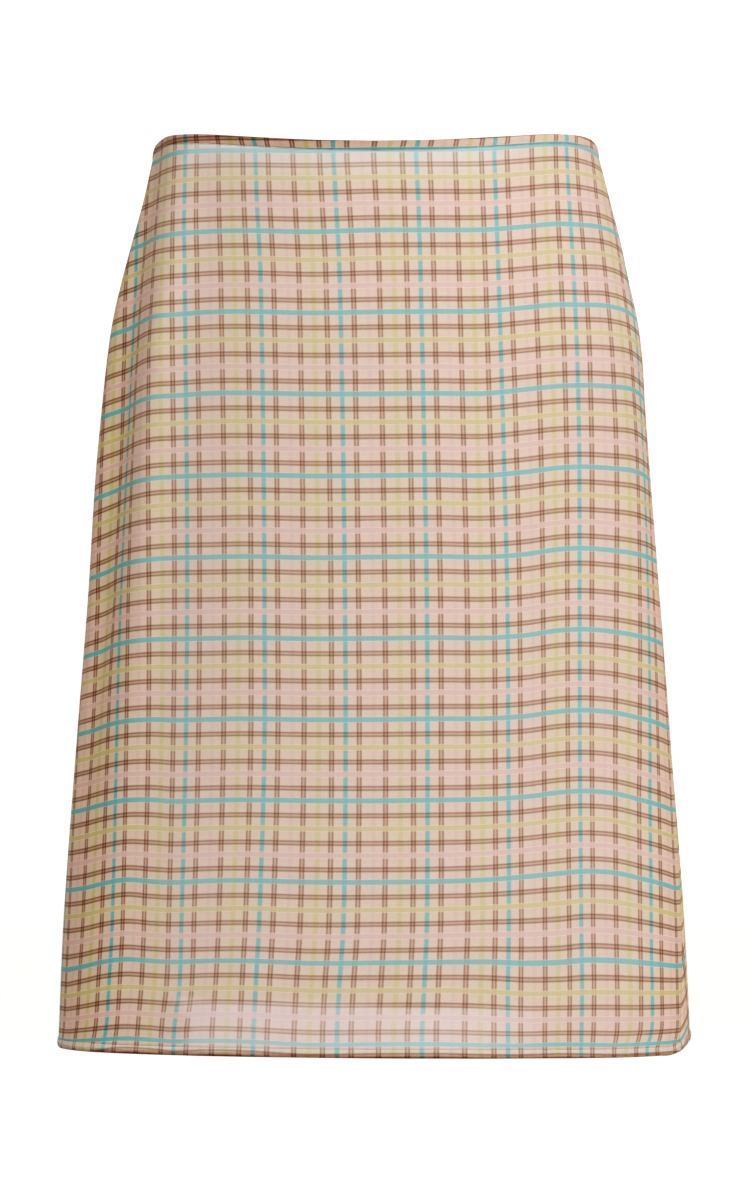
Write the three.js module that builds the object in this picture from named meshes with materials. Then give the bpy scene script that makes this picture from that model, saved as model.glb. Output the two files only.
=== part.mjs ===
// A-line midi skirt in its worn form: a front and a back panel of light cloth, joined at the
// side seams, with a narrow turned edge round the waist and a narrow turned hem.
// Millimetres, +Z up, front towards -Y. The origin is the centre of the waist opening, about
// level with its edge.
import * as THREE from "three";

// Cut and cloth
const skirtLength = 660; // centre front, from the waist's edge to the hem's edge
const waistEdgeDepth = 6.5;
const hemDepth = 6;
const clothWall = 1.2;
const doubledWall = 2; // the turned edges are two layers of the cloth and its turning
const edgeStandOff = 0.4; // how far a turned edge stands out from the panel's face
const seamGap = 0.3;

// Fineness of the walls
const panelColumns = 44;
const panelRows = 26;
const edgeRows = 1;
const curveSteps = 360;

// Plan of the worn skirt, one row a section. depth is below the waist; left and right are
// half widths, front and back are depths from the side line, frontRound is the power of the
// cosine that rounds the front (over 1 is a little pointed), and seam is how far round from
// the centre front the right side seam lies, in degrees.
const sections = [
  { depth: 0, left: 160.5, right: 163, front: 77, back: 93, frontRound: 1.22, seam: 91 },
  { depth: 38, left: 169, right: 172.8, front: 80, back: 98, frontRound: 1.22, seam: 91 },
  { depth: 67, left: 177, right: 180.4, front: 82, back: 103, frontRound: 1.21, seam: 91 },
  { depth: 97, left: 185, right: 186.9, front: 84, back: 108, frontRound: 1.2, seam: 91 },
  { depth: 126, left: 191.6, right: 193.2, front: 86, back: 112, frontRound: 1.18, seam: 91 },
  { depth: 155, left: 195.8, right: 196.8, front: 87, back: 116, frontRound: 1.16, seam: 91 },
  { depth: 190, left: 199.6, right: 198.8, front: 88, back: 118, frontRound: 1.15, seam: 91 },
  { depth: 243, left: 204.4, right: 202.8, front: 89, back: 117, frontRound: 1.15, seam: 91 },
  { depth: 330, left: 209.8, right: 209.6, front: 90, back: 114, frontRound: 1.14, seam: 91 },
  { depth: 447, left: 219, right: 218.5, front: 92, back: 112, frontRound: 1.1, seam: 90 },
  { depth: 564, left: 227.4, right: 227, front: 98, back: 112, frontRound: 1, seam: 83.5 },
  { depth: 660, left: 231.2, right: 231.6, front: 104, back: 113, frontRound: 0.93, seam: 74.8 },
];
const leftSeam = 91; // degrees round from the centre front

// Height of the waist's edge above the origin. across is the share of the way from a panel's
// centre to its side seam.
const waistLine = [
  { across: 0, front: 1.6, back: -2.4 },
  { across: 0.25, front: 2.7, back: -2.4 },
  { across: 0.5, front: 5.7, back: -2.2 },
  { across: 0.7, front: 8.3, back: -1.6 },
  { across: 0.85, front: 7.9, back: -1 },
  { across: 0.93, front: 5.4, back: -0.8 },
  { across: 1, front: -0.5, back: -0.5 },
];
const waistLineFade = 110; // depth at which the panels' rows are level again

// Lift of the hem's corners towards the side seams, again by the share of the way there.
const hemLine = [
  { across: 0, left: -0.3, right: -0.3 },
  { across: 0.5, left: 0.7, right: -1.2 },
  { across: 0.8, left: 1.4, right: -1.8 },
  { across: 0.9, left: 2, right: -1.6 },
  { across: 0.95, left: 2.6, right: -1.6 },
  { across: 1, left: 5, right: 0.8 },
];
const hemLineFrom = 560; // depth where the lift of the corners starts

// The back hangs over the seat, so its rows and hem ride up from the side seams.
const backRise = { hem: 22, rampShare: 0.2 };

// Soft upright folds. top and hem are distances round the cloth from the panel's centre at
// the waist and at the hem, width and reach are the half width across and along the fold,
// height stands out at peakDepth and is negative for a trough.
const folds = {
  front: [
    { top: -152, hem: -200, width: 17, height: 6, peakDepth: 190, reach: 240 },
    { top: -186, hem: -240, width: 16, height: -6, peakDepth: 200, reach: 240 },
    { top: 176, hem: 222, width: 24, height: 5, peakDepth: 330, reach: 190 },
    { top: 143, hem: 160, width: 25, height: 2, peakDepth: 360, reach: 300 },
    { top: 98, hem: 112, width: 24, height: -1.6, peakDepth: 380, reach: 300 },
  ],
  back: [
    { top: -150, hem: -190, width: 26, height: 3.5, peakDepth: 330, reach: 230 },
    { top: -104, hem: -140, width: 30, height: -3.4, peakDepth: 470, reach: 240 },
    { top: -60, hem: -82, width: 28, height: 3, peakDepth: 540, reach: 210 },
    { top: -8, hem: 12, width: 34, height: -2.6, peakDepth: 560, reach: 200 },
    { top: 54, hem: 72, width: 28, height: 2.6, peakDepth: 490, reach: 230 },
    { top: 94, hem: 128, width: 30, height: -3, peakDepth: 420, reach: 230 },
    { top: 140, hem: 180, width: 27, height: 3.6, peakDepth: 360, reach: 220 },
  ],
};
const foldFade = 26; // a fold dies away over this distance before a side seam

const cloths = {
  check: { color: 0xdcc2ac, roughness: 0.82, metalness: 0 },
  waistEdge: { color: 0xb08e7b, roughness: 0.85, metalness: 0 },
  hem: { color: 0xbb8f7a, roughness: 0.85, metalness: 0 },
};

const radians = THREE.MathUtils.degToRad;

function smoothStep(share) {
  const t = THREE.MathUtils.clamp(share, 0, 1);
  return t * t * (3 - 2 * t);
}

// A smooth curve through a table's rows: value of a column where key reaches the given place.
function lookUp(table, key, place, column) {
  const last = table.length - 1;
  let row = 0;
  while (row < last - 1 && place > table[row + 1][key]) {
    row += 1;
  }
  const slopeAt = (i) => {
    const before = table[Math.max(i - 1, 0)];
    const after = table[Math.min(i + 1, last)];
    return (after[column] - before[column]) / (after[key] - before[key]);
  };
  const start = table[row];
  const end = table[row + 1];
  const span = end[key] - start[key];
  const t = THREE.MathUtils.clamp((place - start[key]) / span, 0, 1);
  const rise = end[column] - start[column];
  const startPull = slopeAt(row) * span - rise;
  const endPull = rise - slopeAt(row + 1) * span;
  return start[column] + t * rise + t * (1 - t) * ((1 - t) * startPull + t * endPull);
}

// Point of the plan before folds, at an angle round from the centre front.
function planPoint(depth, angle) {
  const sine = Math.sin(angle);
  const cosine = Math.cos(angle);
  const halfWidth = lookUp(sections, "depth", depth, sine < 0 ? "left" : "right");
  if (cosine > 0) {
    const round = lookUp(sections, "depth", depth, "frontRound");
    const front = lookUp(sections, "depth", depth, "front");
    return new THREE.Vector2(halfWidth * sine, -front * cosine ** round);
  }
  const back = lookUp(sections, "depth", depth, "back");
  return new THREE.Vector2(halfWidth * sine, -back * cosine);
}

// Distances along a line of points, from its first point.
function runningLength(points) {
  const lengths = [0];
  for (let i = 1; i < points.length; i += 1) {
    lengths.push(lengths[i - 1] + points[i].distanceTo(points[i - 1]));
  }
  return lengths;
}

// Outward normal of a plan line that runs anticlockwise seen from above.
function outward(points, i) {
  const ahead = points[Math.min(i + 1, points.length - 1)];
  const behind = points[Math.max(i - 1, 0)];
  const along = ahead.clone().sub(behind).normalize();
  return new THREE.Vector2(along.y, -along.x);
}

function foldHeight(side, depth, distance, toSeam) {
  let height = 0;
  for (const fold of folds[side]) {
    const centre = THREE.MathUtils.lerp(fold.top, fold.hem, depth / skirtLength);
    const across = (distance - centre) / fold.width;
    const along = (depth - fold.peakDepth) / fold.reach;
    height += fold.height * Math.exp(-across * across - along * along);
  }
  return height * smoothStep(toSeam / foldFade);
}

// The panel's line round the body at one depth, from seam to seam, as evenly spaced points
// with their outward normals. across runs from -1 at the first seam to 1 at the last.
function panelLine(side, depth, columns) {
  const rightSeam = radians(lookUp(sections, "depth", depth, "seam"));
  const isFront = side === "front";
  const firstAngle = isFront ? -radians(leftSeam) : rightSeam;
  const lastAngle = isFront ? rightSeam : 2 * Math.PI - radians(leftSeam);
  const middleAngle = isFront ? 0 : Math.PI;
  const base = [];
  const angles = [];
  for (let i = 0; i <= curveSteps; i += 1) {
    angles.push(THREE.MathUtils.lerp(firstAngle, lastAngle, i / curveSteps));
    base.push(planPoint(depth, angles[i]));
  }
  const baseLengths = runningLength(base);
  const total = baseLengths[curveSteps];
  const middleShare = (middleAngle - firstAngle) / (lastAngle - firstAngle);
  const middleLength = baseLengths[Math.round(middleShare * curveSteps)];
  const folded = base.map((point, i) => {
    const toSeam = Math.min(baseLengths[i], total - baseLengths[i]);
    const height = foldHeight(side, depth, baseLengths[i] - middleLength, toSeam);
    return point.clone().addScaledVector(outward(base, i), height);
  });
  const lengths = runningLength(folded);
  const usable = lengths[curveSteps] - seamGap;
  const line = [];
  let step = 0;
  for (let column = 0; column <= columns; column += 1) {
    const wanted = seamGap / 2 + (usable * column) / columns;
    while (step < curveSteps - 1 && lengths[step + 1] < wanted) {
      step += 1;
    }
    const share = (wanted - lengths[step]) / (lengths[step + 1] - lengths[step]);
    line.push({
      at: folded[step].clone().lerp(folded[step + 1], share),
      normal: outward(folded, step).lerp(outward(folded, step + 1), share).normalize(),
      across: (2 * column) / columns - 1,
    });
  }
  return line;
}

// How far a point of the cloth is lifted by the hem's line and, on the back, by the ride up.
function hemLift(side, depth, across) {
  const nearHem = smoothStep((depth - hemLineFrom) / (skirtLength - hemLineFrom));
  if (side === "front") {
    const half = across < 0 ? "left" : "right";
    return lookUp(hemLine, "across", Math.abs(across), half) * nearHem;
  }
  const { left, right } = hemLine.at(-1);
  const corner = THREE.MathUtils.lerp(right, left, (across + 1) / 2) * nearHem;
  const ramp = 1 - Math.exp((Math.abs(across) - 1) / backRise.rampShare);
  return corner + backRise.hem * ramp * smoothStep(depth / skirtLength);
}

// Height of a point of the cloth: its depth, less the lifts of the waist's line and the hem.
function heightAt(side, depth, across) {
  const waistLift = lookUp(waistLine, "across", Math.abs(across), side);
  const nearWaist = 1 - smoothStep(depth / waistLineFade);
  return -depth + waistLift * nearWaist + hemLift(side, depth, across);
}

// A closed wall over a grid of places. outer and inner are measured from the cloth's face,
// outwards positive.
function clothWallGeometry(side, topDepth, bottomDepth, rows, outer, inner) {
  const vertices = [];
  const width = panelColumns + 1;
  for (const stand of [outer, inner]) {
    for (let row = 0; row <= rows; row += 1) {
      const depth = THREE.MathUtils.lerp(topDepth, bottomDepth, row / rows);
      for (const { at, normal, across } of panelLine(side, depth, panelColumns)) {
        const point = at.clone().addScaledVector(normal, stand);
        vertices.push(point.x, point.y, heightAt(side, depth, across));
      }
    }
  }
  const layer = width * (rows + 1);
  const outerAt = (row, column) => row * width + column;
  const innerAt = (row, column) => layer + row * width + column;
  const triangles = [];
  const addQuad = (a, b, c, d) => triangles.push(a, b, c, a, c, d);
  for (let row = 0; row < rows; row += 1) {
    for (let column = 0; column < panelColumns; column += 1) {
      const [below, next] = [row + 1, column + 1];
      addQuad(
        outerAt(row, column), outerAt(below, column), outerAt(below, next), outerAt(row, next),
      );
      addQuad(
        innerAt(row, column), innerAt(row, next), innerAt(below, next), innerAt(below, column),
      );
    }
    addQuad(outerAt(row, 0), innerAt(row, 0), innerAt(row + 1, 0), outerAt(row + 1, 0));
    addQuad(
      outerAt(row, panelColumns), outerAt(row + 1, panelColumns),
      innerAt(row + 1, panelColumns), innerAt(row, panelColumns),
    );
  }
  for (let column = 0; column < panelColumns; column += 1) {
    const next = column + 1;
    addQuad(outerAt(0, column), outerAt(0, next), innerAt(0, next), innerAt(0, column));
    addQuad(
      outerAt(rows, column), innerAt(rows, column), innerAt(rows, next), outerAt(rows, next),
    );
  }
  const geometry = new THREE.BufferGeometry();
  geometry.setAttribute("position", new THREE.Float32BufferAttribute(vertices, 3));
  geometry.setIndex(triangles);
  geometry.computeVertexNormals();
  return geometry;
}

function makeWall(name, geometry, cloth) {
  const mesh = new THREE.Mesh(geometry, new THREE.MeshStandardMaterial(cloth));
  mesh.name = name;
  return mesh;
}

function makePanel(side) {
  const top = waistEdgeDepth + seamGap;
  const bottom = skirtLength - hemDepth - seamGap;
  const geometry = clothWallGeometry(side, top, bottom, panelRows, 0, -clothWall);
  return makeWall(`${side}_panel`, geometry, cloths.check);
}

function makeWaistEdge(side) {
  const inner = edgeStandOff - doubledWall;
  const geometry = clothWallGeometry(side, 0, waistEdgeDepth, edgeRows, edgeStandOff, inner);
  return makeWall(`waist_edge_${side}`, geometry, cloths.waistEdge);
}

function makeHem(side) {
  const inner = edgeStandOff - doubledWall;
  const top = skirtLength - hemDepth;
  const geometry = clothWallGeometry(side, top, skirtLength, edgeRows, edgeStandOff, inner);
  return makeWall(`hem_${side}`, geometry, cloths.hem);
}

const skirt = new THREE.Group();
for (const side of ["front", "back"]) {
  skirt.add(makePanel(side), makeWaistEdge(side), makeHem(side));
}

export default skirt;
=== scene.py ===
import bpy
import math
import numpy as np
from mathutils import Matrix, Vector


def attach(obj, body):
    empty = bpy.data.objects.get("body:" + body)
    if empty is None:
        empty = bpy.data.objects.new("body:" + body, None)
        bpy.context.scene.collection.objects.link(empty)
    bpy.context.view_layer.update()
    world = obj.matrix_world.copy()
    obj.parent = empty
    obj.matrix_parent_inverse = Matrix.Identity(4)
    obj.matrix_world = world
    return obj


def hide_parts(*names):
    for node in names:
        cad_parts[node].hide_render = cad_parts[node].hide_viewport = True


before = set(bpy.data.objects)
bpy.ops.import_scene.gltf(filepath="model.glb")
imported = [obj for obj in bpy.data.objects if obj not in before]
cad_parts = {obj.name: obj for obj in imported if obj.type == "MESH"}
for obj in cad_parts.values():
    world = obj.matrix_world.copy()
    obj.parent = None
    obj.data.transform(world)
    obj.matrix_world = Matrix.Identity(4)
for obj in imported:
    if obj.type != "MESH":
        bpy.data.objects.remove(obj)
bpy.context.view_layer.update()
mm = 0.001

# form of the skirt, in mm
skirt = {
    "length": 660,
    "waistEdge": 6.5,
    "hem": 6,
    "clothThickness": 0.6,
    "leftSeam": 91,  # degrees round from the centre front
    "waistFade": 110,  # depth where the rows are level again
    "backRise": 22,  # how far the back hem rides up over the seat
    "backRamp": 0.2,
    "hemLineFrom": 560,
    "foldFade": 26,
}

# depth below the waist, half widths, front and back depth, roundness of the front, seam angle
sectionNames = ("depth", "left", "right", "front", "back", "round", "seam")
sections = np.array([
    (0, 160.5, 163, 77, 93, 1.22, 91),
    (38, 169, 172.8, 80, 98, 1.22, 91),
    (67, 177, 180.4, 82, 103, 1.21, 91),
    (97, 185, 186.9, 84, 108, 1.2, 91),
    (126, 191.6, 193.2, 86, 112, 1.18, 91),
    (155, 195.8, 196.8, 87, 116, 1.16, 91),
    (190, 199.6, 198.8, 88, 118, 1.15, 91),
    (243, 204.4, 202.8, 89, 117, 1.15, 91),
    (330, 209.8, 209.6, 90, 114, 1.14, 91),
    (447, 219, 218.5, 92, 112, 1.1, 90),
    (564, 227.4, 227, 98, 112, 1, 83.5),
    (660, 231.2, 231.6, 104, 113, 0.93, 74.8),
])

# waist edge above the origin, by the share of the way from the centre to a side seam
waistLine = {
    "across": (0, 0.25, 0.5, 0.7, 0.85, 0.93, 1),
    "front": (1.6, 2.7, 5.7, 8.3, 7.9, 5.4, -0.5),
    "back": (-2.4, -2.4, -2.2, -1.6, -1, -0.8, -0.5),
}

# the hem's corners lift at the side seams
hemLine = {
    "across": (0, 0.5, 0.8, 0.9, 0.95, 1),
    "left": (-0.3, 0.7, 1.4, 2, 2.6, 5),
    "right": (-0.3, -1.2, -1.8, -1.6, -1.6, 0.8),
}

# upright folds: place at the waist and at the hem, width, height, peak depth, reach
folds = {
    "front": (
        (-152, -200, 17, 6, 190, 240),
        (-186, -240, 16, -6, 200, 240),
        (176, 222, 24, 5, 330, 190),
        (143, 160, 25, 2, 360, 300),
        (98, 112, 24, -1.6, 380, 300),
    ),
    "back": (
        (-150, -190, 26, 3.5, 330, 230),
        (-104, -140, 30, -3.4, 470, 240),
        (-60, -82, 28, 3, 540, 210),
        (-8, 12, 34, -2.6, 560, 200),
        (54, 72, 28, 2.6, 490, 230),
        (94, 128, 30, -3, 420, 230),
        (140, 180, 27, 3.6, 360, 220),
    ),
}

# small creases: from (place, depth) to (place, depth), width, height
creases = {
    "front": (
        (-96, 590, -128, 662, 11, 0.7),
        (-60, 540, -70, 662, 13, -0.5),
        (30, 560, 24, 662, 16, 0.6),
        (64, 600, 58, 662, 12, -0.5),
        (128, 560, 112, 662, 12, -0.7),
        (196, 600, 178, 662, 9, 0.8),
        (-140, 60, -166, 150, 10, 0.9),
        (150, 40, 168, 150, 12, 0.7),
        (-214, 330, -232, 470, 10, -1.1),
        (206, 470, 214, 590, 11, -0.8),
    ),
    "back": (
        (-130, 520, -150, 662, 12, 1),
        (-36, 560, -42, 662, 13, -0.8),
        (30, 540, 38, 662, 12, 0.8),
        (104, 570, 120, 662, 11, 0.9),
        (168, 520, 182, 662, 13, -0.9),
        (-70, 26, 60, 34, 9, -0.8),
        (-40, 52, 96, 66, 10, -0.6),
        (-120, 70, -30, 88, 11, 0.5),
    ),
}


def lookUp(keys, values, place):
    keys = np.asarray(keys, float)
    values = np.asarray(values, float)
    inner = (values[2:] - values[:-2]) / (keys[2:] - keys[:-2])
    first = (values[1] - values[0]) / (keys[1] - keys[0])
    last = (values[-1] - values[-2]) / (keys[-1] - keys[-2])
    slopes = np.concatenate([[first], inner, [last]])
    row = np.clip(np.searchsorted(keys, place) - 1, 0, len(keys) - 2)
    span = keys[row + 1] - keys[row]
    t = np.clip((place - keys[row]) / span, 0, 1)
    rise = values[row + 1] - values[row]
    startPull = slopes[row] * span - rise
    endPull = rise - slopes[row + 1] * span
    return values[row] + t * rise + t * (1 - t) * ((1 - t) * startPull + t * endPull)


def section(depth, name):
    return lookUp(sections[:, 0], sections[:, sectionNames.index(name)], depth)


def smoothStep(share):
    t = np.clip(share, 0, 1)
    return t * t * (3 - 2 * t)


def runningLength(x, y):
    return np.concatenate([[0], np.cumsum(np.hypot(np.diff(x), np.diff(y)))])


def outward(x, y, lengths):
    alongX, alongY = np.gradient(x, lengths), np.gradient(y, lengths)
    size = np.hypot(alongX, alongY)
    return alongY / size, -alongX / size


def creaseHeight(side, depth, place):
    height = np.zeros_like(place)
    for fromPlace, fromDepth, toPlace, toDepth, width, rise in creases[side]:
        runPlace, runDepth = toPlace - fromPlace, toDepth - fromDepth
        t = (place - fromPlace) * runPlace + (depth - fromDepth) * runDepth
        t = np.clip(t / (runPlace**2 + runDepth**2), 0, 1)
        away = np.hypot(place - fromPlace - t * runPlace, depth - fromDepth - t * runDepth)
        height += rise * np.exp(-((away / width) ** 2))
    return height


# the cloth's line round the body at one depth, evenly spaced from seam to seam
def panelLine(side, depth, columns, steps=1440):
    rightSeam = math.radians(float(section(depth, "seam")))
    leftSeam = math.radians(skirt["leftSeam"])
    if side == "front":
        firstAngle, lastAngle, middleAngle = -leftSeam, rightSeam, 0
    else:
        firstAngle, lastAngle, middleAngle = rightSeam, 2 * math.pi - leftSeam, math.pi
    angle = np.linspace(firstAngle, lastAngle, steps + 1)
    sine, cosine = np.sin(angle), np.cos(angle)
    x = np.where(sine < 0, section(depth, "left"), section(depth, "right")) * sine
    frontY = -section(depth, "front") * np.abs(cosine) ** section(depth, "round")
    y = np.where(cosine > 0, frontY, -section(depth, "back") * cosine)
    lengths = runningLength(x, y)
    place = lengths - np.interp(middleAngle, angle, lengths)
    toSeam = np.minimum(lengths, lengths[-1] - lengths)
    height = creaseHeight(side, depth, place)
    for top, hem, width, rise, peakDepth, reach in folds[side]:
        centre = top + (hem - top) * depth / skirt["length"]
        height += rise * np.exp(
            -(((place - centre) / width) ** 2) - ((depth - peakDepth) / reach) ** 2
        )
    height *= smoothStep(toSeam / skirt["foldFade"])
    normalX, normalY = outward(x, y, lengths)
    x, y = x + normalX * height, y + normalY * height
    lengths = runningLength(x, y)
    normalX, normalY = outward(x, y, lengths)
    middle = np.interp(middleAngle, angle, lengths)
    wanted = np.linspace(0, lengths[-1], columns + 1)
    return {
        "x": np.interp(wanted, lengths, x),
        "y": np.interp(wanted, lengths, y),
        "normalX": np.interp(wanted, lengths, normalX),
        "normalY": np.interp(wanted, lengths, normalY),
        "across": np.linspace(-1, 1, columns + 1),
        "place": wanted - middle,
        "toSeam": np.minimum(wanted, lengths[-1] - wanted),
    }


def hemLift(side, depth, across):
    fromTop = skirt["hemLineFrom"]
    nearHem = smoothStep((depth - fromTop) / (skirt["length"] - fromTop))
    if side == "front":
        left = lookUp(hemLine["across"], hemLine["left"], np.abs(across))
        right = lookUp(hemLine["across"], hemLine["right"], np.abs(across))
        return np.where(across < 0, left, right) * nearHem
    left, right = hemLine["left"][-1], hemLine["right"][-1]
    corner = right + (left - right) * (across + 1) / 2
    return corner * nearHem + backRide(side, depth, across)


def backRide(side, depth, across):
    if side == "front":
        return np.zeros_like(across)
    ramp = 1 - np.exp((np.abs(across) - 1) / skirt["backRamp"])
    return skirt["backRise"] * ramp * smoothStep(depth / skirt["length"])


def heightAt(side, depth, across):
    lift = lookUp(waistLine["across"], waistLine[side], np.abs(across))
    nearWaist = 1 - smoothStep(depth / skirt["waistFade"])
    return -depth + lift * nearWaist + hemLift(side, depth, across)


check = {
    "repeat": 58.6,
    "firstRow": 5,  # the first turquoise row, below the origin
    "columnPhase": {"front": 0.40, "back": 0.45},
    "seamReach": 42,  # the back's rows level out from the seams over this distance
    # low down, the back's rows climb away from its right-hand seam
    "backClimb": {"rise": 7, "reach": 9, "from": 380, "over": 200},
    # the hem's fold takes in a little of the cloth and gives some back at its edge
    "rollFrom": 650.5,
    "rollOver": 4.5,
    "rollBackAt": 1.2,
    "rollTakes": 3.2,
    "rollGives": {"left": 1.8, "right": 0.4, "from": -100, "over": 100},
}

# how far the check stands right of its even place: a row for each depth, a number for each place
columnPlaces = (-199, -170, -141, -112, -82, -23, 35, 94, 123, 152, 181, 211)
columnDepths = (12, 45, 93, 210, 330, 440, 561, 610, 640, 655)
columnShift = np.array([
    (-2.5, -2.5, -3.5, -5, -5.5, -6, -4.5, -5, -4, -4, -5, -5),
    (-2, -1.5, -3, -4, -4, -4, -3, -4, -4, -4, -4.5, -4.5),
    (1, 0.5, -1, -1.5, -1, -1.5, -1.5, -2.5, -3, -2, -1, -0.5),
    (3.5, 2, 1.5, 1.5, 1.5, 1, 1, 1, 0.5, 0.5, 3, 6.5),
    (3.5, 3, 2.5, 2.5, 2.5, 2.5, 3, 4, 2, 0, 1.5, 3.5),
    (4, 2.5, 2, 2, 2.5, 3, 3.5, 4.5, 2.5, -0.5, 0, 1),
    (2.5, 0, -0.5, -1, -1, 1.5, 3, 4.5, 3, 0, -0.5, 1),
    (-0.5, -2, -2, -3.5, -3.5, -1.5, 1, 3.5, 3, 0.5, 0, 1),
    (-2.5, -5, -6, -5.5, -5, -3, -0.5, 3.5, 2.5, 0, -0.5, 0.5),
    (-5.5, -6, -6.5, -6, -5.5, -3, -0.5, 3.5, 2.5, -0.5, -3.5, -4.5),
])

# how far the rows hang below their level place, in the same way
rowPlaces = (
    -245, -225, -205, -185, -165, -148, -120, -92, -45, 0, 45, 80, 110, 135, 155, 180, 205, 240,
)
rowDepths = (5, 40, 90, 181, 298, 474, 532, 580, 615, 650)
rowDrop = np.array([
    (18, 14, 10, 6, 2, -0.5, -1, -0.5, 0.5, 0, -0.5, -1.5, -4, -6, -6, -0.5, 8, 20),
    (19.5, 14.5, 10, 6, 3, 0.5, -0.5, -0.5, 0.5, -0.5, -0.5, -1, -3.5, -6, -6, -3.5, 3, 18),
    (20.5, 15.5, 10.5, 6, 2.5, 1, -0.5, -0.5, 1, 0, -0.5, -1, -3.5, -6, -6, -5.5, 0, 15),
    (21, 16, 11, 6.5, 2.5, 1.5, 0, 0, 1, 1, 0.5, 0.5, -2.5, -5, -6, -5.5, -3.5, 8),
    (20, 15, 9, 5.5, 3, 2, 1.5, 1, 2, 1.5, 1, 1.5, -0.5, -4, -5, -3.5, -0.5, 5),
    (12.5, 9, 5, 2, 1.5, 2.5, 1.5, 1, 1.5, 1.5, 1, 0.5, -1, -4, -5, -3, 2.5, 10),
    (10.5, 8, 4, 1, 2, 2.5, 1, 0.5, 1.5, 1.5, 1, 0, -2, -4, -5.5, -4, 1, 8.5),
    (9, 6.5, 2.5, 0, 1, 1.5, 0.5, 0, 1.5, 1, 0.5, 0, 0.5, 0, -1.5, -0.5, 2, 7),
    (9, 5.5, 1.5, -0.5, 0, 0.5, -1, -1, 0.5, 0.5, 0.5, 1.5, 3.5, 3.5, 3, 3.5, 4.5, 5.5),
    (4, 2, 0, -1.5, -1, 0, -1, -0.5, 1.5, 1, 1, 2, 2.5, 2, 2.5, 3.5, 3.5, 3),
])


# value of a table at one depth and many places
def fromTable(depths, places, table, depth, place):
    atDepth = [float(lookUp(depths, column, depth)) for column in table.T]
    return lookUp(places, atDepth, place)


def clothPlace(side, depth, line, height):
    place, wanted = line["place"], max(depth, rowDepths[0])
    if side == "front":
        drop = fromTable(rowDepths, rowPlaces, rowDrop, wanted, place)
        shift = fromTable(columnDepths, columnPlaces, columnShift, wanted, place)
    else:
        # the rows meet the front's at the side seams
        front = panelLine("front", depth, 8)["place"]
        left, right = fromTable(rowDepths, rowPlaces, rowDrop, wanted, front[[0, -1]])
        drop = right * np.exp((place[0] - place) / check["seamReach"])
        drop = drop + left * np.exp((place - place[-1]) / check["seamReach"])
        climb = check["backClimb"]
        share = smoothStep((depth - climb["from"]) / climb["over"])
        drop = drop - climb["rise"] * share * (1 - np.exp((place[0] - place) / climb["reach"]))
        shift = 0
    u = (place - shift) / check["repeat"] + check["columnPhase"][side]
    rolled = (depth - check["rollFrom"]) / check["rollOver"]
    gives = check["rollGives"]
    back = smoothStep((place - gives["from"]) / gives["over"])
    back = gives["left"] + (gives["right"] - gives["left"]) * back
    roll = check["rollTakes"] * smoothStep(rolled) - back * smoothStep(rolled - check["rollBackAt"])
    v = backRide(side, depth, line["across"]) - height - drop - check["firstRow"] + roll
    return u, v / check["repeat"]


def addObject(name, vertices, faces, uvs=None, lightShadeShares=None):
    mesh = bpy.data.meshes.new(name)
    mesh.from_pydata((np.asarray(vertices) * mm).tolist(), [], faces)
    if uvs is not None:
        layer = mesh.uv_layers.new(name="cloth")
        loopVertices = np.empty(len(mesh.loops), dtype=np.int32)
        mesh.loops.foreach_get("vertex_index", loopVertices)
        layer.data.foreach_set("uv", np.asarray(uvs)[loopVertices].ravel())
    # the share attribute carries how much painted light and painted shade each point's colour gets
    if lightShadeShares is not None:
        attribute = mesh.attributes.new("share", "FLOAT", "POINT")
        attribute.data.foreach_set("value", np.asarray(lightShadeShares, dtype=np.float32))
    mesh.polygons.foreach_set("use_smooth", [True] * len(mesh.polygons))
    mesh.update()
    piece = bpy.data.objects.new(name, mesh)
    bpy.context.scene.collection.objects.link(piece)
    return piece


def gridFaces(rows, columns, wrap=False):
    width = columns + 1
    faces = []
    for row in range(rows):
        below = (row + 1) % rows if wrap else row + 1
        for column in range(columns):
            a, b = row * width + column, below * width + column
            faces.append((a, b, b + 1, a + 1))
    return faces


# materials
def paint(red, green, blue):
    linear = []
    for value in (red, green, blue):
        share = value / 255
        linear.append(share / 12.92 if share <= 0.04045 else ((share + 0.055) / 1.055) ** 2.4)
    return linear


cloth = {
    "cream": (223, 204, 190),
    "greyCream": (219, 204, 194),
    "pink": (226, 203, 192),
    "rose": (226, 199, 189),
    "blush": (226, 198, 190),
    "straw": (223, 204, 185),
    "turquoise": (136, 189, 191),
    "turquoiseColumn": (146, 189, 193),
    "brown": (168, 132, 111),
    "brownFill": (206, 176, 156),
    "yellow": (213, 197, 154),
    "yellowColumn": (214, 200, 164),
    "pinkLine": (220, 198, 188),
    "pinkRow": (223, 194, 188),
    "roughness": 0.82,
    "roughnessSpread": 0.14,
    "shine": 0.15,
    "sheen": 0.18,
    "sheenRoughness": 0.45,
    "sheenTint": (1, 0.8, 0.58),
    "thread": 0.42,  # mm between threads
    "weaveHeight": 0.3,
    "grainHeight": 0.8,
    "grainScale": 1500,
    "bumpStrength": 0.22,
    "bumpDepth": 0.00012,
    "wanderScale": 900,
    "wanderReach": 0.008,  # share of the repeat
    "slubScale": {"warp": (140, 9, 1), "weft": (9, 140, 1)},
    "slubStrength": 0.1,
    # painted shade: the print deepens towards the side seams while its ground stays as light
    "sideShadeGamma": 0.75,
    "sideShadeTint": (1.3, 1.44, 1.41),
}

# stripes across one repeat: centre and width, as shares of the repeat
columnStripes = {
    "turquoiseColumn": (0, 0.054), "pinkLine": (0.345, 0.05), "yellowColumn": (0.67, 0.06),
}
rowStripes = {"turquoise": (0, 0.068), "yellow": (0.344, 0.066), "pinkRow": (0.673, 0.07)}
columnDoubles = (0.166, 0.489, 0.829)
rowDoubles = (0.184, 0.522, 0.847)
doubleLine = {"offset": 0.0215, "width": 0.0185}
stripeEdge = 0.006
rowCover = 0.88  # how far a row stripe hides the column stripes under it


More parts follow.
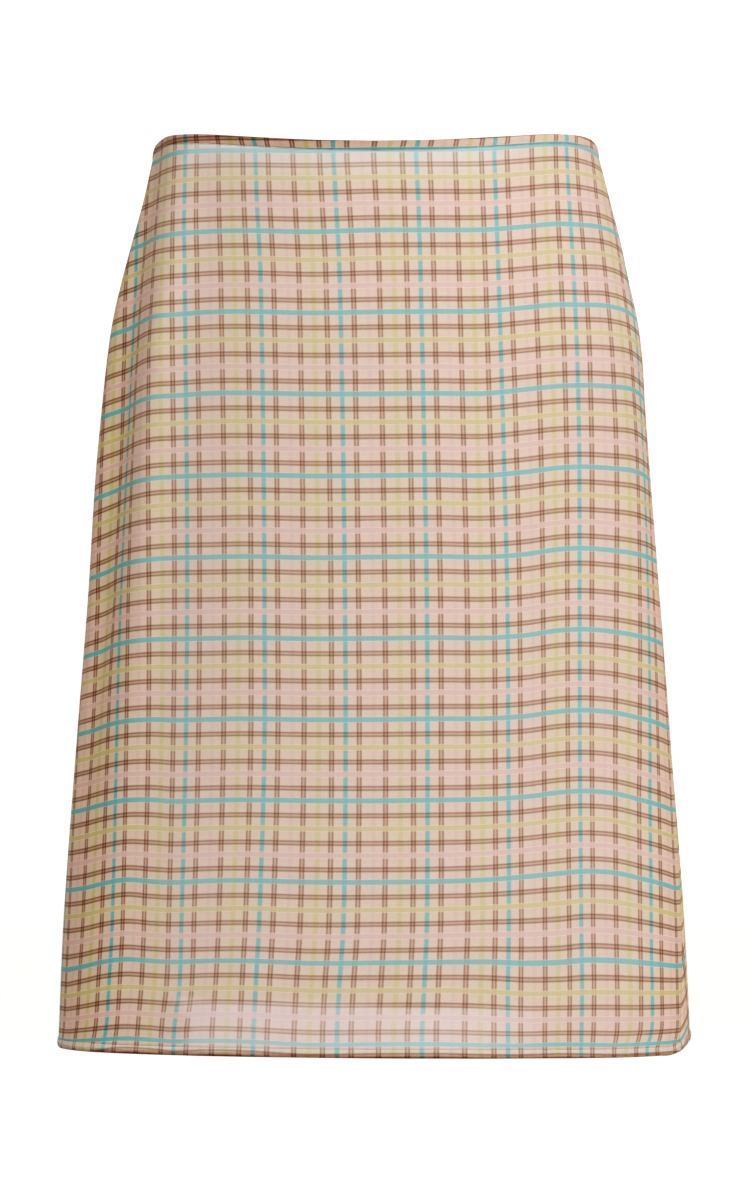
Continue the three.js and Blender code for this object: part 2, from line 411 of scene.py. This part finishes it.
def addNode(tree, kind, label=None, **settings):
    node = tree.nodes.new(kind)
    if label:
        node.label = label
    for name, value in settings.items():
        setattr(node, name, value)
    return node


def maths(tree, operation, first, second=None, third=None):
    node = addNode(tree, "ShaderNodeMath", operation=operation)
    for socket, value in zip(node.inputs, (first, second, third)):
        if isinstance(value, (int, float)):
            socket.default_value = value
        elif value is not None:
            tree.links.new(value, socket)
    return node.outputs[0]


def mixColour(tree, blend, factor, first, second):
    node = addNode(tree, "ShaderNodeMix", data_type="RGBA", blend_type=blend)
    sockets = [s for s in node.inputs if s.enabled]
    for socket, value in zip(sockets, (factor, first, second)):
        if isinstance(value, (int, float)):
            socket.default_value = value
        elif isinstance(value, (list, tuple)):
            socket.default_value = (*value, 1)
        else:
            tree.links.new(value, socket)
    return next(s for s in node.outputs if s.enabled)


def ramp(tree, label, factor, stops):
    node = addNode(tree, "ShaderNodeValToRGB", label)
    elements = node.color_ramp.elements
    while len(elements) > 1:
        elements.remove(elements[-1])
    stops = sorted(stops, key=lambda stop: stop[0])
    elements[0].position = stops[0][0]
    elements[0].color = stops[0][1]
    for position, colour in stops[1:]:
        elements.new(position).color = colour
    tree.links.new(factor, node.inputs[0])
    return node


def tint(name):
    ground = paint(*cloth["cream"])
    return [min(c / g, 1.0) for c, g in zip(paint(*cloth[name]), ground)]


white = (1.0, 1.0, 1.0)


# stops of single stripes on a plain ground; alpha is 1 on a stripe
def stripeStops(stripes, colourOf, cover=1.0):
    plain = (*white, 0.0)
    stops = []
    for name, (centre, width) in stripes.items():
        colour = (*colourOf(name), cover)
        half = width / 2
        if centre == 0:
            stops += [(0, colour), (half - stripeEdge, colour), (half + stripeEdge, plain)]
            stops += [(1 - half - stripeEdge, plain), (1 - half + stripeEdge, colour)]
        else:
            stops += [(centre - half - stripeEdge, plain), (centre - half + stripeEdge, colour)]
            stops += [(centre + half - stripeEdge, colour), (centre + half + stripeEdge, plain)]
    return stops


def doubleStops(centres):
    plain = (*white, 1)
    line, fill = (*tint("brown"), 1), (*tint("brownFill"), 1)
    half = doubleLine["width"] / 2
    stops = [(0, plain)]
    for centre in centres:
        for side, inside in ((-1, 1), (1, -1)):
            middle = centre + side * doubleLine["offset"]
            outer = middle + side * half
            inner = middle + inside * half
            stops += [(outer + side * stripeEdge, plain), (outer - side * stripeEdge, line)]
            stops += [(inner - inside * stripeEdge, line), (inner + inside * stripeEdge, fill)]
    return stops


def groundStops(bands):
    return [(at, (*paint(*cloth[name]), 1)) for at, name in bands]


columnGround = (
    (0, "greyCream"), (0.13, "cream"), (0.24, "pink"), (0.36, "pink"), (0.43, "rose"),
    (0.56, "straw"), (0.76, "straw"), (0.88, "cream"), (1, "greyCream"),
)
rowGround = (
    (0, "greyCream"), (0.13, "cream"), (0.24, "straw"), (0.44, "straw"), (0.57, "pink"),
    (0.63, "blush"), (0.72, "blush"), (0.78, "pink"), (0.9, "cream"), (1, "greyCream"),
)

# painted light: where one layer of the cloth stands alone before the light, the print is painted paler,
# as if light shone through it
lightThrough = {
    # colours of the painted light seen through the single layer
    "waistColour": (227, 230, 239),
    "stripColour": (234, 246, 247),
    "hemColour": (243, 235, 248),
    "waistFrom": -143,
    "waistShare": 0.36,
    "waistTo": 60,
    "waistEndFade": 90,
    "waistDepth": 9,
    "waistSoft": 16,
    "waistLean": 0.6,  # its left end runs outwards by this much for each mm down
    "waistStartFade": 9,
    # the painted light is brightest in a narrow strip just under the turned edge
    "stripShare": 0.42,
    "stripWidth": 2.9,
    "stripTo": -112,
    "stripEndFade": 48,
    "hemShare": 0.38,
    "hemFrom": -147,
    "hemTo": 60,
    "hemEndFade": 95,
    "hemDepth": 615.5,
    "hemSlope": 0.028,
    "hemSoft": 4,
    "hemStartFade": 14,
    # its upper edge and its left end waver: height in mm, and turns in radians for each mm
    "upperWave": {"height": 1.3, "turn": 0.045},
    "endWave": {"height": 5, "turn": 0.12},
    # between these heights, in metres, the waist's painted light colour gives way to the hem's
    "hemToWaist": (-0.5, -0.2),
    "stripShares": (0.55, 0.75),  # the strip's colour comes in between these shares
}

# painted shade: towards the side seams the cloth is seen through more of itself and turns from the
# light, and the print is painted deeper
sideShade = {
    "left": {"from": -140, "over": 80, "share": 1},
    "right": {"from": 190, "over": 45, "share": 0.6},
}


# share of painted light where one layer stands alone, less the painted shade towards the side seams
def lightAndShadeShare(side, depth, place):
    left, right = sideShade["left"], sideShade["right"]
    deeper = left["share"] * smoothStep((left["from"] - place) / left["over"])
    deeper = deeper + right["share"] * smoothStep((place - right["from"]) / right["over"])
    if side == "back":
        return -deeper
    below = depth - skirt["waistEdge"]
    waist = 1 - smoothStep((below - lightThrough["waistDepth"]) / lightThrough["waistSoft"])
    fromLeft = place - lightThrough["waistFrom"] + lightThrough["waistLean"] * below
    waist = waist * smoothStep(fromLeft / lightThrough["waistStartFade"])
    strip = 1 - smoothStep(2 * below / lightThrough["stripWidth"] - 1)
    strip = strip * waist * (1 - smoothStep((place - lightThrough["stripTo"]) / lightThrough["stripEndFade"]))
    waist = waist * (1 - smoothStep((place - lightThrough["waistTo"]) / lightThrough["waistEndFade"]))
    edgeDepth = lightThrough["hemDepth"] + lightThrough["hemSlope"] * (place - lightThrough["hemFrom"])
    upper, end = lightThrough["upperWave"], lightThrough["endWave"]
    edgeDepth = edgeDepth + upper["height"] * np.sin(place * upper["turn"])
    hem = smoothStep((depth - edgeDepth) / lightThrough["hemSoft"])
    fromLeft = place - lightThrough["hemFrom"] - end["height"] * np.sin(depth * end["turn"])
    hem = hem * smoothStep(fromLeft / lightThrough["hemStartFade"])
    hem = hem * (1 - smoothStep((place - lightThrough["hemTo"]) / lightThrough["hemEndFade"]))
    lightThroughShare = lightThrough["waistShare"] * waist + lightThrough["stripShare"] * strip + lightThrough["hemShare"] * hem
    return lightThroughShare - deeper


def printedColour(tree, parts, position):
    # the print's edges wander a little from thread to thread
    wander = addNode(tree, "ShaderNodeTexNoise", "print edge", noise_dimensions="3D")
    tree.links.new(position, wander.inputs["Vector"])
    wander.inputs["Scale"].default_value = cloth["wanderScale"]
    wander.inputs["Detail"].default_value = 1
    around = maths(tree, "SUBTRACT", wander.outputs[0], 0.5)
    drift = maths(tree, "MULTIPLY", around, cloth["wanderReach"])
    u = maths(tree, "FRACT", maths(tree, "ADD", parts.outputs[0], drift))
    v = maths(tree, "FRACT", maths(tree, "ADD", parts.outputs[1], drift))
    ground = mixColour(
        tree, "MIX", 0.5,
        ramp(tree, "column ground", u, groundStops(columnGround)).outputs[0],
        ramp(tree, "row ground", v, groundStops(rowGround)).outputs[0],
    )
    columns = ramp(tree, "columns", u, stripeStops(columnStripes, tint))
    doubles = ramp(tree, "double columns", u, doubleStops(columnDoubles))
    doubleRows = ramp(tree, "double rows", v, doubleStops(rowDoubles))
    cover = ramp(tree, "rows", v, stripeStops(rowStripes, lambda n: paint(*cloth[n]), rowCover))
    colour = mixColour(tree, "MULTIPLY", 1.0, ground, columns.outputs[0])
    colour = mixColour(tree, "MULTIPLY", 1.0, colour, doubles.outputs[0])
    colour = mixColour(tree, "MULTIPLY", 1.0, colour, doubleRows.outputs[0])
    return mixColour(tree, "MIX", cover.outputs[1], colour, cover.outputs[0])


def mapRange(tree, label, value, fromRange, toRange=(0, 1), smooth=False):
    node = addNode(tree, "ShaderNodeMapRange", label)
    if smooth:
        node.interpolation_type = "SMOOTHSTEP"
    tree.links.new(value, node.inputs["Value"])
    node.inputs["From Min"].default_value, node.inputs["From Max"].default_value = fromRange
    node.inputs["To Min"].default_value, node.inputs["To Max"].default_value = toRange
    return node.outputs["Result"]


def toPower(tree, label, colour, power):
    node = addNode(tree, "ShaderNodeGamma", label)
    tree.links.new(colour, node.inputs["Color"])
    tree.links.new(power, node.inputs["Gamma"])
    return node.outputs[0]


# a panel's print: painted light makes it paler where one layer stands alone, and painted shade makes it
# deeper towards the side seams
def panelColour(tree, colour, share, spot):
    lightThroughShare = maths(tree, "MAXIMUM", share, 0.0)
    waist = mapRange(tree, "waist or hem", spot.outputs["Z"], lightThrough["hemToWaist"])
    lightColour = mixColour(tree, "MIX", waist, paint(*lightThrough["hemColour"]), paint(*lightThrough["waistColour"]))
    strip = mapRange(tree, "brightest painted light strip", lightThroughShare, lightThrough["stripShares"])
    lightColour = mixColour(tree, "MIX", strip, lightColour, paint(*lightThrough["stripColour"]))
    litPrint = toPower(tree, "print paled by painted light", colour, maths(tree, "SUBTRACT", 1.0, lightThroughShare))
    behind = toPower(tree, "light behind", lightColour, lightThroughShare)
    colour = mixColour(tree, "MULTIPLY", 1.0, litPrint, behind)
    # painted shade deepens the print towards the side seams
    deeper = maths(tree, "MAXIMUM", maths(tree, "MULTIPLY", share, -1.0), 0.0)
    power = maths(tree, "MULTIPLY_ADD", deeper, cloth["sideShadeGamma"], 1.0)
    lift = mixColour(tree, "MIX", deeper, white, cloth["sideShadeTint"])
    return mixColour(tree, "MULTIPLY", 1.0, toPower(tree, "print deepened by painted side shade", colour, power), lift)


# a turned edge's print, deepened by painted shade: more on the left, and more where the profile's share
# is larger
def shadedEdgeColour(tree, colour, share, spot, turned):
    strength = mapRange(
        tree, "edge shade strength, deeper on the left", spot.outputs["X"],
        (turned["from"], turned["to"]), (turned["left"], turned["right"]),
    )
    return toPower(tree, "painted edge shade", colour, maths(tree, "MULTIPLY_ADD", strength, share, 1.0))


def shaded(tree, colour, shade):
    shades = addNode(tree, "ShaderNodeCombineColor")
    for socket in shades.inputs:
        tree.links.new(shade, socket)
    return mixColour(tree, "MULTIPLY", 1.0, colour, shades.outputs[0])


# slubs: threads a shade lighter or darker, along and across
def slubs(tree, colour, uv):
    streak = None
    for label, scale in cloth["slubScale"].items():
        mapping = addNode(tree, "ShaderNodeMapping", label)
        tree.links.new(uv, mapping.inputs[0])
        mapping.inputs["Scale"].default_value = scale
        noise = addNode(tree, "ShaderNodeTexNoise", label)
        tree.links.new(mapping.outputs[0], noise.inputs["Vector"])
        noise.inputs["Scale"].default_value = 1
        noise.inputs["Detail"].default_value = 2
        level = noise.outputs[0]
        streak = level if streak is None else maths(tree, "ADD", streak, level)
    strength = cloth["slubStrength"]
    return shaded(tree, colour, maths(tree, "MULTIPLY_ADD", streak, strength, 1 - strength))


# weave: over and under of warp and weft, with a faint crepe grain
def weave(tree, shader, parts, position):
    turns = 2 * math.pi * check["repeat"] / cloth["thread"]
    warp = maths(tree, "SINE", maths(tree, "MULTIPLY", parts.outputs[0], turns))
    weft = maths(tree, "SINE", maths(tree, "MULTIPLY", parts.outputs[1], turns))
    crossing = maths(tree, "MULTIPLY", warp, weft)
    grain = addNode(tree, "ShaderNodeTexNoise", "crepe grain")
    tree.links.new(position, grain.inputs["Vector"])
    grain.inputs["Scale"].default_value = cloth["grainScale"]
    grain.inputs["Detail"].default_value = 3
    crepe = maths(tree, "MULTIPLY", grain.outputs[0], cloth["grainHeight"])
    relief = maths(tree, "MULTIPLY_ADD", crossing, cloth["weaveHeight"], crepe)
    bump = addNode(tree, "ShaderNodeBump")
    bump.inputs["Strength"].default_value = cloth["bumpStrength"]
    bump.inputs["Distance"].default_value = cloth["bumpDepth"]
    tree.links.new(relief, bump.inputs["Height"])
    tree.links.new(bump.outputs[0], shader.inputs["Normal"])
    spread = cloth["roughnessSpread"]
    lowest = cloth["roughness"] - spread / 2
    rough = maths(tree, "MULTIPLY_ADD", grain.outputs[0], spread, lowest)
    tree.links.new(rough, shader.inputs["Roughness"])


def newMaterial(name):
    material = bpy.data.materials.new(name)
    material.use_nodes = True
    tree = material.node_tree
    position = addNode(tree, "ShaderNodeTexCoord").outputs["Object"]
    spot = addNode(tree, "ShaderNodeSeparateXYZ")
    tree.links.new(position, spot.inputs[0])
    return material, tree, tree.nodes["Principled BSDF"], position, spot


def clothMaterial(name, turned=None):
    material, tree, shader, position, spot = newMaterial(name)
    uv = addNode(tree, "ShaderNodeUVMap", uv_map="cloth").outputs[0]
    parts = addNode(tree, "ShaderNodeSeparateXYZ")
    tree.links.new(uv, parts.inputs[0])
    # the share attribute brings in the painted light and painted shade
    share = addNode(tree, "ShaderNodeAttribute", attribute_name="share").outputs["Fac"]
    colour = printedColour(tree, parts, position)
    if turned is None:
        colour = panelColour(tree, colour, share, spot)
    else:
        colour = shadedEdgeColour(tree, colour, share, spot, turned)
    tree.links.new(slubs(tree, colour, uv), shader.inputs["Base Color"])
    weave(tree, shader, parts, position)
    shader.inputs["Sheen Weight"].default_value = cloth["sheen"]
    shader.inputs["Sheen Roughness"].default_value = cloth["sheenRoughness"]
    shader.inputs["Sheen Tint"].default_value = (*cloth["sheenTint"], 1)
    shader.inputs["Specular IOR Level"].default_value = cloth["shine"]
    return material


# how much painted shade deepens each edge's print, from its left to its right, across X in metres
waistEdgeShade = {"left": 0.9, "right": 0.16, "from": -0.05, "to": 0.1}
hemEdgeShade = {"left": 1.5, "right": 0.62, "from": -0.2, "to": 0.1}

checkCloth = clothMaterial("checkCloth")
waistCloth = clothMaterial("waistEdgeCloth", waistEdgeShade)
hemCloth = clothMaterial("hemCloth", hemEdgeShade)
print("materials made")

# panels
panel = {
    "columns": 180,
    "rows": 236,
    "topDepth": 6.0,
    "bottomDepth": 654.6,
    "seamDip": 0.9,
    "seamDipWidth": 2.2,
}


def makePanel(side):
    vertices, uvs, lightShadeShares = [], [], []
    for depth in np.linspace(panel["topDepth"], panel["bottomDepth"], panel["rows"] + 1):
        line = panelLine(side, depth, panel["columns"])
        height = heightAt(side, depth, line["across"])
        dip = panel["seamDip"] * np.exp(-((line["toSeam"] / panel["seamDipWidth"]) ** 2))
        x = line["x"] - line["normalX"] * dip
        y = line["y"] - line["normalY"] * dip
        vertices.append(np.column_stack([x, y, height]))
        uvs.append(np.column_stack(clothPlace(side, depth, line, height)))
        lightShadeShares.append(lightAndShadeShare(side, depth, line["place"]))
    piece = addObject(
        side + "Panel", np.concatenate(vertices), gridFaces(panel["rows"], panel["columns"]),
        np.concatenate(uvs), np.concatenate(lightShadeShares),
    )
    shell = piece.modifiers.new("thickness", "SOLIDIFY")
    shell.thickness = skirt["clothThickness"] * mm
    shell.offset = -1
    piece.data.materials.append(checkCloth)
    return piece


# turned edges
edge = {
    "columns": 300,
    "pucker": 0.16,
    "puckerFullAt": 0.5,  # mm out from the cloth's face
    # two waves make the pucker uneven: turns in radians for each mm
    "fineTurn": 0.9,
    "wander": 0.07,
    "slowTurn": 0.37,
    "slowShare": 0.6,
    # the turned waist edge has crept sideways, so its columns lean
    "leanPlaces": (-210, -150, -90, -30, 20, 60, 120, 170, 210),
    "lean": (0, -0.6, -1.6, -0.4, 1.6, 1.4, 0.9, 0.3, 0),
}

# profiles of the turned edges: depth below the edge's line, distance out from the cloth's
# face, and how far painted shade there deepens the colour (below zero, painted light makes it paler)
waistProfile = (
    (6.7, -0.2, 1), (6.45, 0.3, 1), (5.6, 0.42, 1), (4.9, 0.4, 1), (3.2, 0.62, 1),
    (1.2, 0.55, 1.4), (0.35, 0.25, 1.6), (0, -0.35, 1.6), (0.3, -0.95, 1.4), (1.4, -1.25, 1),
    (4.2, -1.3, 1), (6.6, -1.2, 1), (7.1, -0.9, 1),
)
hemProfile = (
    (-0.7, -0.9, -0.12), (-0.5, -0.4, -0.12), (-0.1, 0.02, -0.12), (0.8, 0.16, -0.14),
    (1.7, 0.3, -0.12), (3.3, 0.6, -0.05), (4.3, 0.56, 0.6), (5.2, 0.5, 1.2), (5.85, 0.1, 1.5),
    (6, -0.4, 1.5), (5.7, -1.0, 1), (4.6, -1.25, 1), (2, -1.3, 1), (-0.4, -1.2, 1),
)


def makeEdge(side, name, start, profile, material):
    vertices, uvs, lightShadeShares = [], [], []
    for drop, stand, share in profile:
        depth = start + drop
        line = panelLine(side, depth, edge["columns"])
        height = heightAt(side, max(depth, 0), line["across"]) - min(depth, 0)
        place = line["place"]
        ripple = np.sin(place * edge["fineTurn"] + 2 * np.sin(place * edge["wander"]))
        ripple = ripple + edge["slowShare"] * np.sin(place * edge["slowTurn"] + 1)
        free = min(max(stand, 0) / edge["puckerFullAt"], 1)
        out = stand + edge["pucker"] * ripple * free
        x = line["x"] + line["normalX"] * out
        y = line["y"] + line["normalY"] * out
        vertices.append(np.column_stack([x, y, height]))
        u, v = clothPlace(side, depth, line, height)
        if start == 0:
            lean = lookUp(edge["leanPlaces"], edge["lean"], place)
            u = u - lean * (1 - depth / skirt["waistEdge"]) / check["repeat"]
        uvs.append(np.column_stack([u, v]))
        lightShadeShares.append(np.full(len(place), float(share)))
    rows, width = len(profile), edge["columns"] + 1
    faces = [tuple(reversed(face)) for face in gridFaces(rows, edge["columns"], wrap=True)]
    faces.append(tuple(row * width for row in range(rows)))
    faces.append(tuple(reversed([row * width + edge["columns"] for row in range(rows)])))
    piece = addObject(
        name, np.concatenate(vertices), faces, np.concatenate(uvs), np.concatenate(lightShadeShares),
    )
    piece.data.materials.append(material)
    return piece


# stitches
stitch = {
    "length": 1,
    "width": 0.5,
    "height": 0.45,
    "pitch": 1.7,
    # the thread's colours in the middle and at the ends; the middle's darker colour is painted shade
    "waistColour": (58, 92, 88),
    "waistEndColour": (150, 196, 194),
    "hemColour": (118, 80, 66),
    "hemEndColour": (128, 88, 72),
    "waistDepth": 7.2,
    "hemDepth": 657.1,
    "waistStand": 0.1,  # how far the row stands out from the cloth's face
    "hemStand": 0.6,
    "pathSteps": 260,
    "beadSegments": 8,
    "beadRings": 4,
    "smallest": (0.88, 0.9, 0.85),  # each stitch's length, width and height vary this far
    "largest": (1.06, 1.1, 1.1),
    # painted shade: the thread is painted darker in the middle than at the sides, in metres
    "middleAt": -0.002,
    "towardsSides": (0.045, 0.085),
    "twistScale": 2600,
    "twistShade": {"spread": 0.5, "lowest": 0.6},
    "roughness": 0.6,
}


def threadMaterial(name, edgeName):
    material, tree, shader, position, spot = newMaterial(name)
    # painted shade: the thread is darker towards the middle
    across = maths(tree, "SUBTRACT", spot.outputs["X"], stitch["middleAt"])
    away = maths(tree, "ABSOLUTE", across)
    ends = mapRange(tree, "towards the sides", away, stitch["towardsSides"], smooth=True)
    middle, end = paint(*stitch[edgeName + "Colour"]), paint(*stitch[edgeName + "EndColour"])
    noise = addNode(tree, "ShaderNodeTexNoise", "twist")
    noise.inputs["Scale"].default_value = stitch["twistScale"]
    tree.links.new(position, noise.inputs["Vector"])
    twist = stitch["twistShade"]
    shade = maths(tree, "MULTIPLY_ADD", noise.outputs[0], twist["spread"], twist["lowest"])
    colour = shaded(tree, mixColour(tree, "MIX", ends, middle, end), shade)
    tree.links.new(colour, shader.inputs["Base Color"])
    shader.inputs["Roughness"].default_value = stitch["roughness"]
    return material


waistThread = threadMaterial("waistThread", "waist")
hemThread = threadMaterial("hemThread", "hem")


def stitchPath(side, name, depth, stand):
    line = panelLine(side, depth, stitch["pathSteps"])
    height = heightAt(side, depth, line["across"])
    x = line["x"] + line["normalX"] * stand
    y = line["y"] + line["normalY"] * stand
    points = np.column_stack([x, y, height]) * mm
    mesh = bpy.data.meshes.new(name)
    mesh.from_pydata(points.tolist(), [(i, i + 1) for i in range(len(points) - 1)], [])
    normal = np.column_stack([line["normalX"], line["normalY"], np.zeros_like(x)])
    attribute = mesh.attributes.new("outward", "FLOAT_VECTOR", "POINT")
    attribute.data.foreach_set("vector", normal.ravel())
    piece = bpy.data.objects.new(name, mesh)
    bpy.context.scene.collection.objects.link(piece)
    return piece


# one tree lays a row of stitches along any path that knows its outward direction
def stitchTree():
    tree = bpy.data.node_groups.new("stitchRow", "GeometryNodeTree")
    face = tree.interface
    face.new_socket("Path", in_out="INPUT", socket_type="NodeSocketGeometry")
    for name in ("Pitch", "Length", "Width", "Height"):
        face.new_socket(name, in_out="INPUT", socket_type="NodeSocketFloat")
    face.new_socket("Seed", in_out="INPUT", socket_type="NodeSocketInt")
    face.new_socket("Thread", in_out="INPUT", socket_type="NodeSocketMaterial")
    face.new_socket("Stitches", in_out="OUTPUT", socket_type="NodeSocketGeometry")
    source = addNode(tree, "NodeGroupInput")
    result = addNode(tree, "NodeGroupOutput")
    toCurve = addNode(tree, "GeometryNodeMeshToCurve")
    tree.links.new(source.outputs["Path"], toCurve.inputs[0])
    resample = addNode(tree, "GeometryNodeResampleCurve", mode="LENGTH")
    tree.links.new(toCurve.outputs[0], resample.inputs["Curve"])
    tree.links.new(source.outputs["Pitch"], resample.inputs["Length"])
    outwardNode = addNode(tree, "GeometryNodeInputNamedAttribute", data_type="FLOAT_VECTOR")
    outwardNode.inputs["Name"].default_value = "outward"
    tangent = addNode(tree, "GeometryNodeInputTangent")
    alongPath = addNode(tree, "FunctionNodeAlignRotationToVector", axis="X")
    tree.links.new(tangent.outputs[0], alongPath.inputs["Vector"])
    faceOut = addNode(tree, "FunctionNodeAlignRotationToVector", axis="Z", pivot_axis="X")
    tree.links.new(alongPath.outputs[0], faceOut.inputs["Rotation"])
    tree.links.new(outwardNode.outputs["Attribute"], faceOut.inputs["Vector"])
    bead = addNode(tree, "GeometryNodeMeshUVSphere")
    bead.inputs["Segments"].default_value = stitch["beadSegments"]
    bead.inputs["Rings"].default_value = stitch["beadRings"]
    bead.inputs["Radius"].default_value = 0.5
    turn = addNode(tree, "GeometryNodeTransform")
    turn.inputs["Rotation"].default_value = (0, math.pi / 2, 0)
    tree.links.new(bead.outputs[0], turn.inputs[0])
    size = addNode(tree, "ShaderNodeCombineXYZ")
    for axis, name in enumerate(("Length", "Width", "Height")):
        tree.links.new(source.outputs[name], size.inputs[axis])
    vary = addNode(tree, "FunctionNodeRandomValue", data_type="FLOAT_VECTOR")
    vary.inputs["Min"].default_value = stitch["smallest"]
    vary.inputs["Max"].default_value = stitch["largest"]
    tree.links.new(source.outputs["Seed"], vary.inputs["Seed"])
    scale = addNode(tree, "ShaderNodeVectorMath", operation="MULTIPLY")
    tree.links.new(size.outputs[0], scale.inputs[0])
    tree.links.new(vary.outputs[0], scale.inputs[1])
    place = addNode(tree, "GeometryNodeInstanceOnPoints")
    tree.links.new(resample.outputs[0], place.inputs["Points"])
    tree.links.new(turn.outputs[0], place.inputs["Instance"])
    tree.links.new(faceOut.outputs[0], place.inputs["Rotation"])
    tree.links.new(scale.outputs[0], place.inputs["Scale"])
    realize = addNode(tree, "GeometryNodeRealizeInstances")
    tree.links.new(place.outputs[0], realize.inputs[0])
    finish = addNode(tree, "GeometryNodeSetMaterial")
    tree.links.new(realize.outputs[0], finish.inputs["Geometry"])
    tree.links.new(source.outputs["Thread"], finish.inputs["Material"])
    tree.links.new(finish.outputs[0], result.inputs[0])
    return tree


rowOfStitches = stitchTree()


def makeStitches(side, name, depth, stand, thread, seed):
    path = stitchPath(side, name + "Path", depth, stand)
    modifier = path.modifiers.new("stitches", "NODES")
    modifier.node_group = rowOfStitches
    values = {
        "Pitch": stitch["pitch"] * mm, "Length": stitch["length"] * mm,
        "Width": stitch["width"] * mm, "Height": stitch["height"] * mm,
        "Seed": seed, "Thread": thread,
    }
    for item in rowOfStitches.interface.items_tree:
        if item.in_out == "INPUT" and item.name in values:
            modifier[item.identifier] = values[item.name]
    path.update_tag()
    graph = bpy.context.evaluated_depsgraph_get()
    mesh = bpy.data.meshes.new_from_object(path.evaluated_get(graph))
    mesh.name = name
    bpy.data.objects.remove(path)
    piece = bpy.data.objects.new(name, mesh)
    bpy.context.scene.collection.objects.link(piece)
    mesh.polygons.foreach_set("use_smooth", [True] * len(mesh.polygons))
    return piece


for number, (side, label) in enumerate((("front", "Front"), ("back", "Back"))):
    body = makePanel(side)
    waist = makeEdge(side, "waistEdge" + label, 0, waistProfile, waistCloth)
    hemTop = skirt["length"] - skirt["hem"]
    hem = makeEdge(side, "hem" + label, hemTop, hemProfile, hemCloth)
    topstitch = makeStitches(
        side, "topstitch" + label, stitch["waistDepth"], stitch["waistStand"], waistThread,
        11 + number,
    )
    hemStitch = makeStitches(
        side, "hemStitch" + label, stitch["hemDepth"], stitch["hemStand"], hemThread, 21 + number,
    )
    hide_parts(side + "_panel")
    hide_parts("waist_edge_" + side)
    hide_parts("hem_" + side)
    for piece in (body, waist, hem, topstitch, hemStitch):
        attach(piece, "root")
    print(side, "made")

# studio, in metres
studio = {
    "floor": -0.85, "wallAt": 11.5, "bend": 1.5, "halfWidth": 9.5, "front": -9.5, "top": 6.5,
    "glowFront": 0.05, "glowBack": 0.735, "paper": (0.9, 0.9, 0.9),
    "paperRoughness": 0.95, "middleGlow": (0.87, 0.96, 1), "sideGlow": (0.87, 0.81, 0.68),
    "glowBehind": (-0.3, 0.7), "warmBeyond": (1.0, 1.8), "bendSteps": 24,
}


def makeStudio():
    profile = [(studio["front"], studio["floor"])]
    bendStart = studio["wallAt"] - studio["bend"]
    for step in range(studio["bendSteps"] + 1):
        angle = math.pi / 2 * step / studio["bendSteps"]
        y = bendStart + studio["bend"] * math.sin(angle)
        z = studio["floor"] + studio["bend"] * (1 - math.cos(angle))
        profile.append((y, z))
    profile.append((studio["wallAt"], studio["top"]))
    vertices = [(x, y, z) for y, z in profile for x in (-studio["halfWidth"], studio["halfWidth"])]
    faces = [(2 * i, 2 * i + 1, 2 * i + 3, 2 * i + 2) for i in range(len(profile) - 1)]
    sweep = addObject("studioSweep", np.array(vertices) / mm, faces)
    material, tree, shader, position, spot = newMaterial("palePaper")
    shader.inputs["Base Color"].default_value = (*studio["paper"], 1)
    shader.inputs["Roughness"].default_value = studio["paperRoughness"]
    # the paper is lit from behind only at the back of the studio, and warmer at its sides
    levels = (studio["glowFront"], studio["glowBack"])
    glow = mapRange(tree, "glow", spot.outputs["Y"], studio["glowBehind"], levels, smooth=True)
    tree.links.new(glow, shader.inputs["Emission Strength"])
    away = maths(tree, "ABSOLUTE", spot.outputs["X"])
    sides = mapRange(tree, "sides", away, studio["warmBeyond"], smooth=True)
    colour = mixColour(tree, "MIX", sides, studio["middleGlow"], studio["sideGlow"])
    tree.links.new(colour, shader.inputs["Emission Color"])
    sweep.data.materials.append(material)


lights = {
    "keyLight": {"at": (2.75, -3.2, 1.3), "size": (2.0, 2.4), "power": 44.5, "colour": (0.96, 0.95, 1)},
    "topLight": {"at": (0.5, -2.6, 3.4), "size": (2.0, 2.0), "power": 158, "colour": (0.91, 1, 0.97)},
}
lightTarget = (0, 0, -0.33)
surround = {"colour": (1, 0.45, 0.2, 1), "strength": 0.15}


def addLight(name, at, size, power, colour):
    data = bpy.data.lights.new(name, "AREA")
    data.shape = "RECTANGLE"
    data.size, data.size_y = size
    data.energy = power
    data.color = colour
    light = bpy.data.objects.new(name, data)
    light.location = at
    direction = Vector(lightTarget) - Vector(at)
    light.rotation_euler = direction.to_track_quat("-Z", "Y").to_euler()
    bpy.context.scene.collection.objects.link(light)


makeStudio()
for name, light in lights.items():
    addLight(name, **light)

world = bpy.data.worlds.new("softWhite")
bpy.context.scene.world = world
world.use_nodes = True
background = world.node_tree.nodes["Background"]
background.inputs["Color"].default_value = surround["colour"]
background.inputs["Strength"].default_value = surround["strength"]
bpy.context.scene.view_settings.view_transform = "Standard"
print("studio made")

# camera
view = {
    "imageHeight": 0.864, "distance": 5.8, "frontFace": -0.1, "across": 0.0004, "level": -0.3305,
    "sensor": 36, "farthest": 50,
}
cameraData = bpy.data.cameras.new("camera")
cameraData.sensor_width = view["sensor"]
cameraData.lens = view["sensor"] * view["distance"] / view["imageHeight"]
cameraData.clip_end = view["farthest"]
camera = bpy.data.objects.new("camera", cameraData)
camera.location = (view["across"], view["frontFace"] - view["distance"], view["level"])
camera.rotation_euler = (math.pi / 2, 0, 0)
bpy.context.scene.collection.objects.link(camera)
bpy.context.scene.camera = camera

print("skirt dressed")
